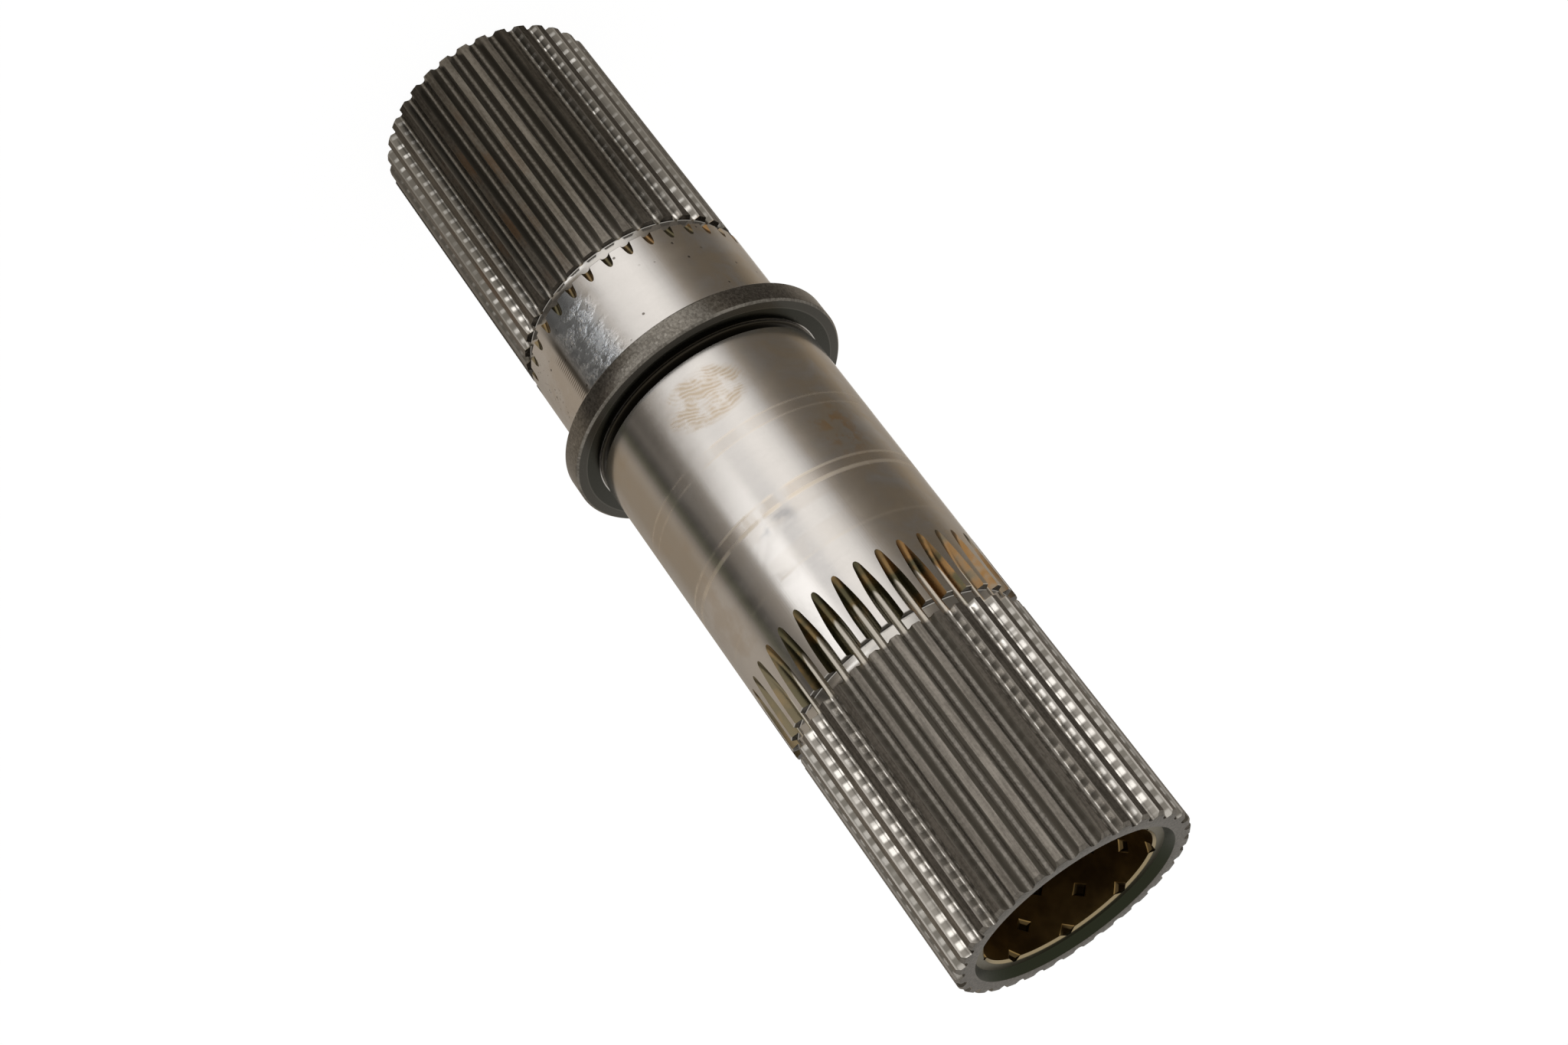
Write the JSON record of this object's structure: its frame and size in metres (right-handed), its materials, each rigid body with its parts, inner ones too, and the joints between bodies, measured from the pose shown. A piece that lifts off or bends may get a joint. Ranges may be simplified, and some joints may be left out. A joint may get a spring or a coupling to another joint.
{
  "type": "splined shaft",
  "caption": "Hollow steel shaft with an involute spline at each end, two ground journals, a collar between them and a bronze bush pressed into the near end.",
  "frame": {"origin": "centre of the far end face, which the shaft stands on", "axes": "+Z along the shaft's axis towards the near end, which holds the bush; +X through the middle of a tooth space of the near spline"},
  "size_m": [0.042, 0.042, 0.15],
  "materials": {
    "steel": "satin",
    "bronze": "satin"
  },
  "bodies": {
    "root": {"shaft": "steel", "bush": "bronze"}
  },
  "joints": []
}
